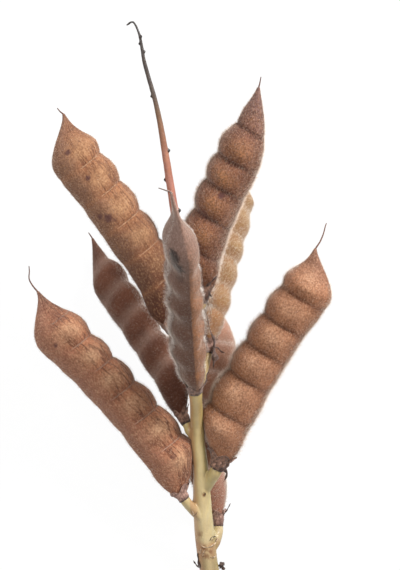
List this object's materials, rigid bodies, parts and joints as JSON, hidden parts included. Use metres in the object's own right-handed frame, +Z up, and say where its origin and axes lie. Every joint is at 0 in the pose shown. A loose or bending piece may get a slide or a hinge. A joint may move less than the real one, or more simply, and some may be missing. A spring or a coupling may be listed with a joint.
{
  "type": "dried lupin pod stalk",
  "caption": "Cut, dried lupin stalk lying on its lower pods: plump hairy seed pods on short stalks, each in a withered calyx, below a bare curved tip.",
  "frame": {"origin": "on the resting surface, under the middle of the cluster's box seen from above", "axes": "+Y along the stem from its cut end to its tip, +Z up from the surface it lies on, +X to the right seen from above"},
  "size_m": [0.0989, 0.1899, 0.0817],
  "materials": {
    "stem": "satin, pale green-yellow plant skin, pink and then dark towards the tip",
    "pod_brown": "matt brown pod skin under short pale hairs, darker in the grooves between seeds",
    "pod_straw": "matt straw pod skin under short white hairs",
    "pod_grey": "matt grey-brown pod skin under dense pale hairs, orange-tan on one face",
    "calyx": "matt, wrinkled and papery dark brown",
    "bark": "matt, torn and nearly black"
  },
  "bodies": {
    "root": {"stem": "stem", "pod_low_left": "pod_brown", "calyx_low_left": "calyx", "pod_low_right": "pod_brown", "calyx_low_right": "calyx", "pod_high_left": "pod_brown", "calyx_high_left": "calyx", "pod_high_right": "pod_brown", "calyx_high_right": "calyx", "pod_mid_left": "pod_brown", "calyx_mid_left": "calyx", "pod_pale": "pod_straw", "calyx_pale": "calyx", "pod_under": "pod_brown", "calyx_under": "calyx", "pod_front": "pod_grey", "calyx_front": "calyx", "bark_clump": "bark", "bark_fibres": "bark"}
  },
  "joints": []
}
